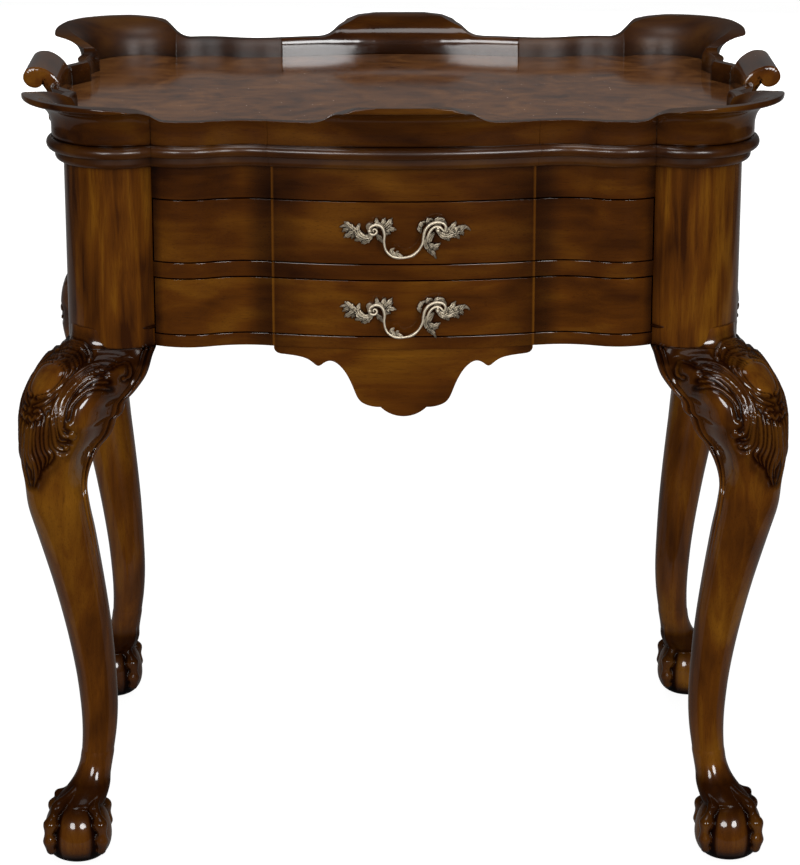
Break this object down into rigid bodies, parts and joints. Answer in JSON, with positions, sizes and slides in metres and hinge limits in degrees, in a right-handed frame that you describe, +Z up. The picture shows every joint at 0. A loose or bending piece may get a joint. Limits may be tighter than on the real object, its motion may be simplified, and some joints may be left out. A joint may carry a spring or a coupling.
{
  "type": "tray top tea table",
  "caption": "Mahogany tea table with a shaped tray top, scroll handles, corner pillars, serpentine drawers with brass bails and cabriole legs on claw and ball feet.",
  "frame": {"origin": "middle of the footprint on the floor", "axes": "+Z up, front and drawers face -Y, +X to the right seen from the front"},
  "size_m": [0.744, 0.526, 0.7628],
  "materials": {
    "mahogany": "polished, shaded amber to dark brown lacquer",
    "figured_veneer": "mottled figured veneer under polished lacquer",
    "drawer_lining": "plain sanded secondary timber, thin sealer",
    "antique_brass": "cast, dark patina in the recesses, rubbed bright on the high parts",
    "steel": "zinc plated fasteners"
  },
  "bodies": {
    "frame": {"back_apron": "mahogany", "back_panel": "mahogany", "band_back": "mahogany", "band_corners": "mahogany", "band_front": "mahogany", "band_sides": "mahogany", "bead_back": "mahogany", "bead_corners": "mahogany", "bead_front": "mahogany", "bead_sides": "mahogany", "bottom_rail": "mahogany", "drawer_divider": "mahogany", "drawer_runners": "drawer_lining", "dust_panel": "drawer_lining", "front_apron": "mahogany", "gallery_back": "mahogany", "gallery_corner_back_left": "mahogany", "gallery_corner_back_right": "mahogany", "gallery_corner_front_left": "mahogany", "gallery_corner_front_right": "mahogany", "gallery_front": "mahogany", "gallery_left": "mahogany", "gallery_right": "mahogany", "glue_blocks": "drawer_lining", "knee_brackets_back_left": "mahogany", "knee_brackets_back_right": "mahogany", "knee_brackets_front_left": "mahogany", "knee_brackets_front_right": "mahogany", "leg_back_left": "mahogany", "leg_back_right": "mahogany", "leg_bolts": "steel", "leg_front_left": "mahogany", "leg_front_right": "mahogany", "pillar_back_left": "mahogany", "pillar_back_right": "mahogany", "pillar_front_left": "mahogany", "pillar_front_right": "mahogany", "side_panel_left": "mahogany", "side_panel_right": "mahogany", "top_board": "mahogany", "top_rail": "mahogany", "top_screws": "steel", "tray_floor": "figured_veneer"},
    "upper_drawer": {"upper_drawer_back": "drawer_lining", "upper_drawer_bottom": "drawer_lining", "upper_drawer_front": "mahogany", "upper_drawer_side_left": "drawer_lining", "upper_drawer_side_right": "drawer_lining", "upper_pull_nuts": "antique_brass", "upper_pull_posts": "antique_brass"},
    "upper_bail": {"upper_bail": "antique_brass"},
    "lower_drawer": {"lower_drawer_back": "drawer_lining", "lower_drawer_bottom": "drawer_lining", "lower_drawer_front": "mahogany", "lower_drawer_side_left": "drawer_lining", "lower_drawer_side_right": "drawer_lining", "lower_pull_nuts": "antique_brass", "lower_pull_posts": "antique_brass"},
    "lower_bail": {"lower_bail": "antique_brass"}
  },
  "joints": [
    {"name": "upper_drawer_slide", "type": "slide", "parent": "frame", "child": "upper_drawer", "axis": [0, -1, 0], "range_m": [0, 0.24]},
    {"name": "lower_drawer_slide", "type": "slide", "parent": "frame", "child": "lower_drawer", "axis": [0, -1, 0], "range_m": [0, 0.24]},
    {"name": "upper_bail_swing", "type": "hinge", "parent": "upper_drawer", "child": "upper_bail", "pos_m": [0, -0.23505, 0.6416], "axis": [-1, 0, 0], "range_deg": [0, 110]},
    {"name": "lower_bail_swing", "type": "hinge", "parent": "lower_drawer", "child": "lower_bail", "pos_m": [0, -0.23505, 0.5642], "axis": [-1, 0, 0], "range_deg": [0, 110]}
  ]
}
